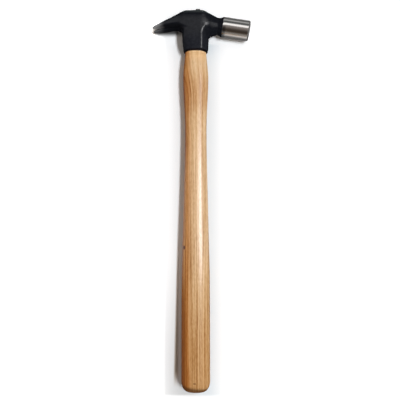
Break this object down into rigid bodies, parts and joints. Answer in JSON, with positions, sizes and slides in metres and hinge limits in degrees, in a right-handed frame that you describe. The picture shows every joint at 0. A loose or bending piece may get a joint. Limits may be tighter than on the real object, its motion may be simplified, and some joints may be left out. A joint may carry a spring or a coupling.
{
  "type": "farrier hammer",
  "caption": "Farrier's driving hammer: black forged head with a split claw, long skirted eye and polished round poll, on a lacquered oval ash handle.",
  "frame": {"origin": "centre of the flat butt end, on the handle's axis", "axes": "+Y along the handle to the head, +X towards the striking face, -X towards the claw, +Z square to the swing plane: up when the hammer lies on its side as pictured"},
  "size_m": [0.0921, 0.3586, 0.024],
  "materials": {
    "forged_head": "satin black paint over forged steel, poll and striking face polished bright",
    "ash_handle": "clear lacquered pale straight-grained hardwood",
    "wedge_wood": "raw end grain",
    "wedge_steel": "dark mill scale, burred by the hammer that drove it"
  },
  "bodies": {
    "root": {"hammer_head": "forged_head", "handle": "ash_handle", "kerf_wedge": "wedge_wood", "steel_wedge": "wedge_steel"}
  },
  "joints": []
}
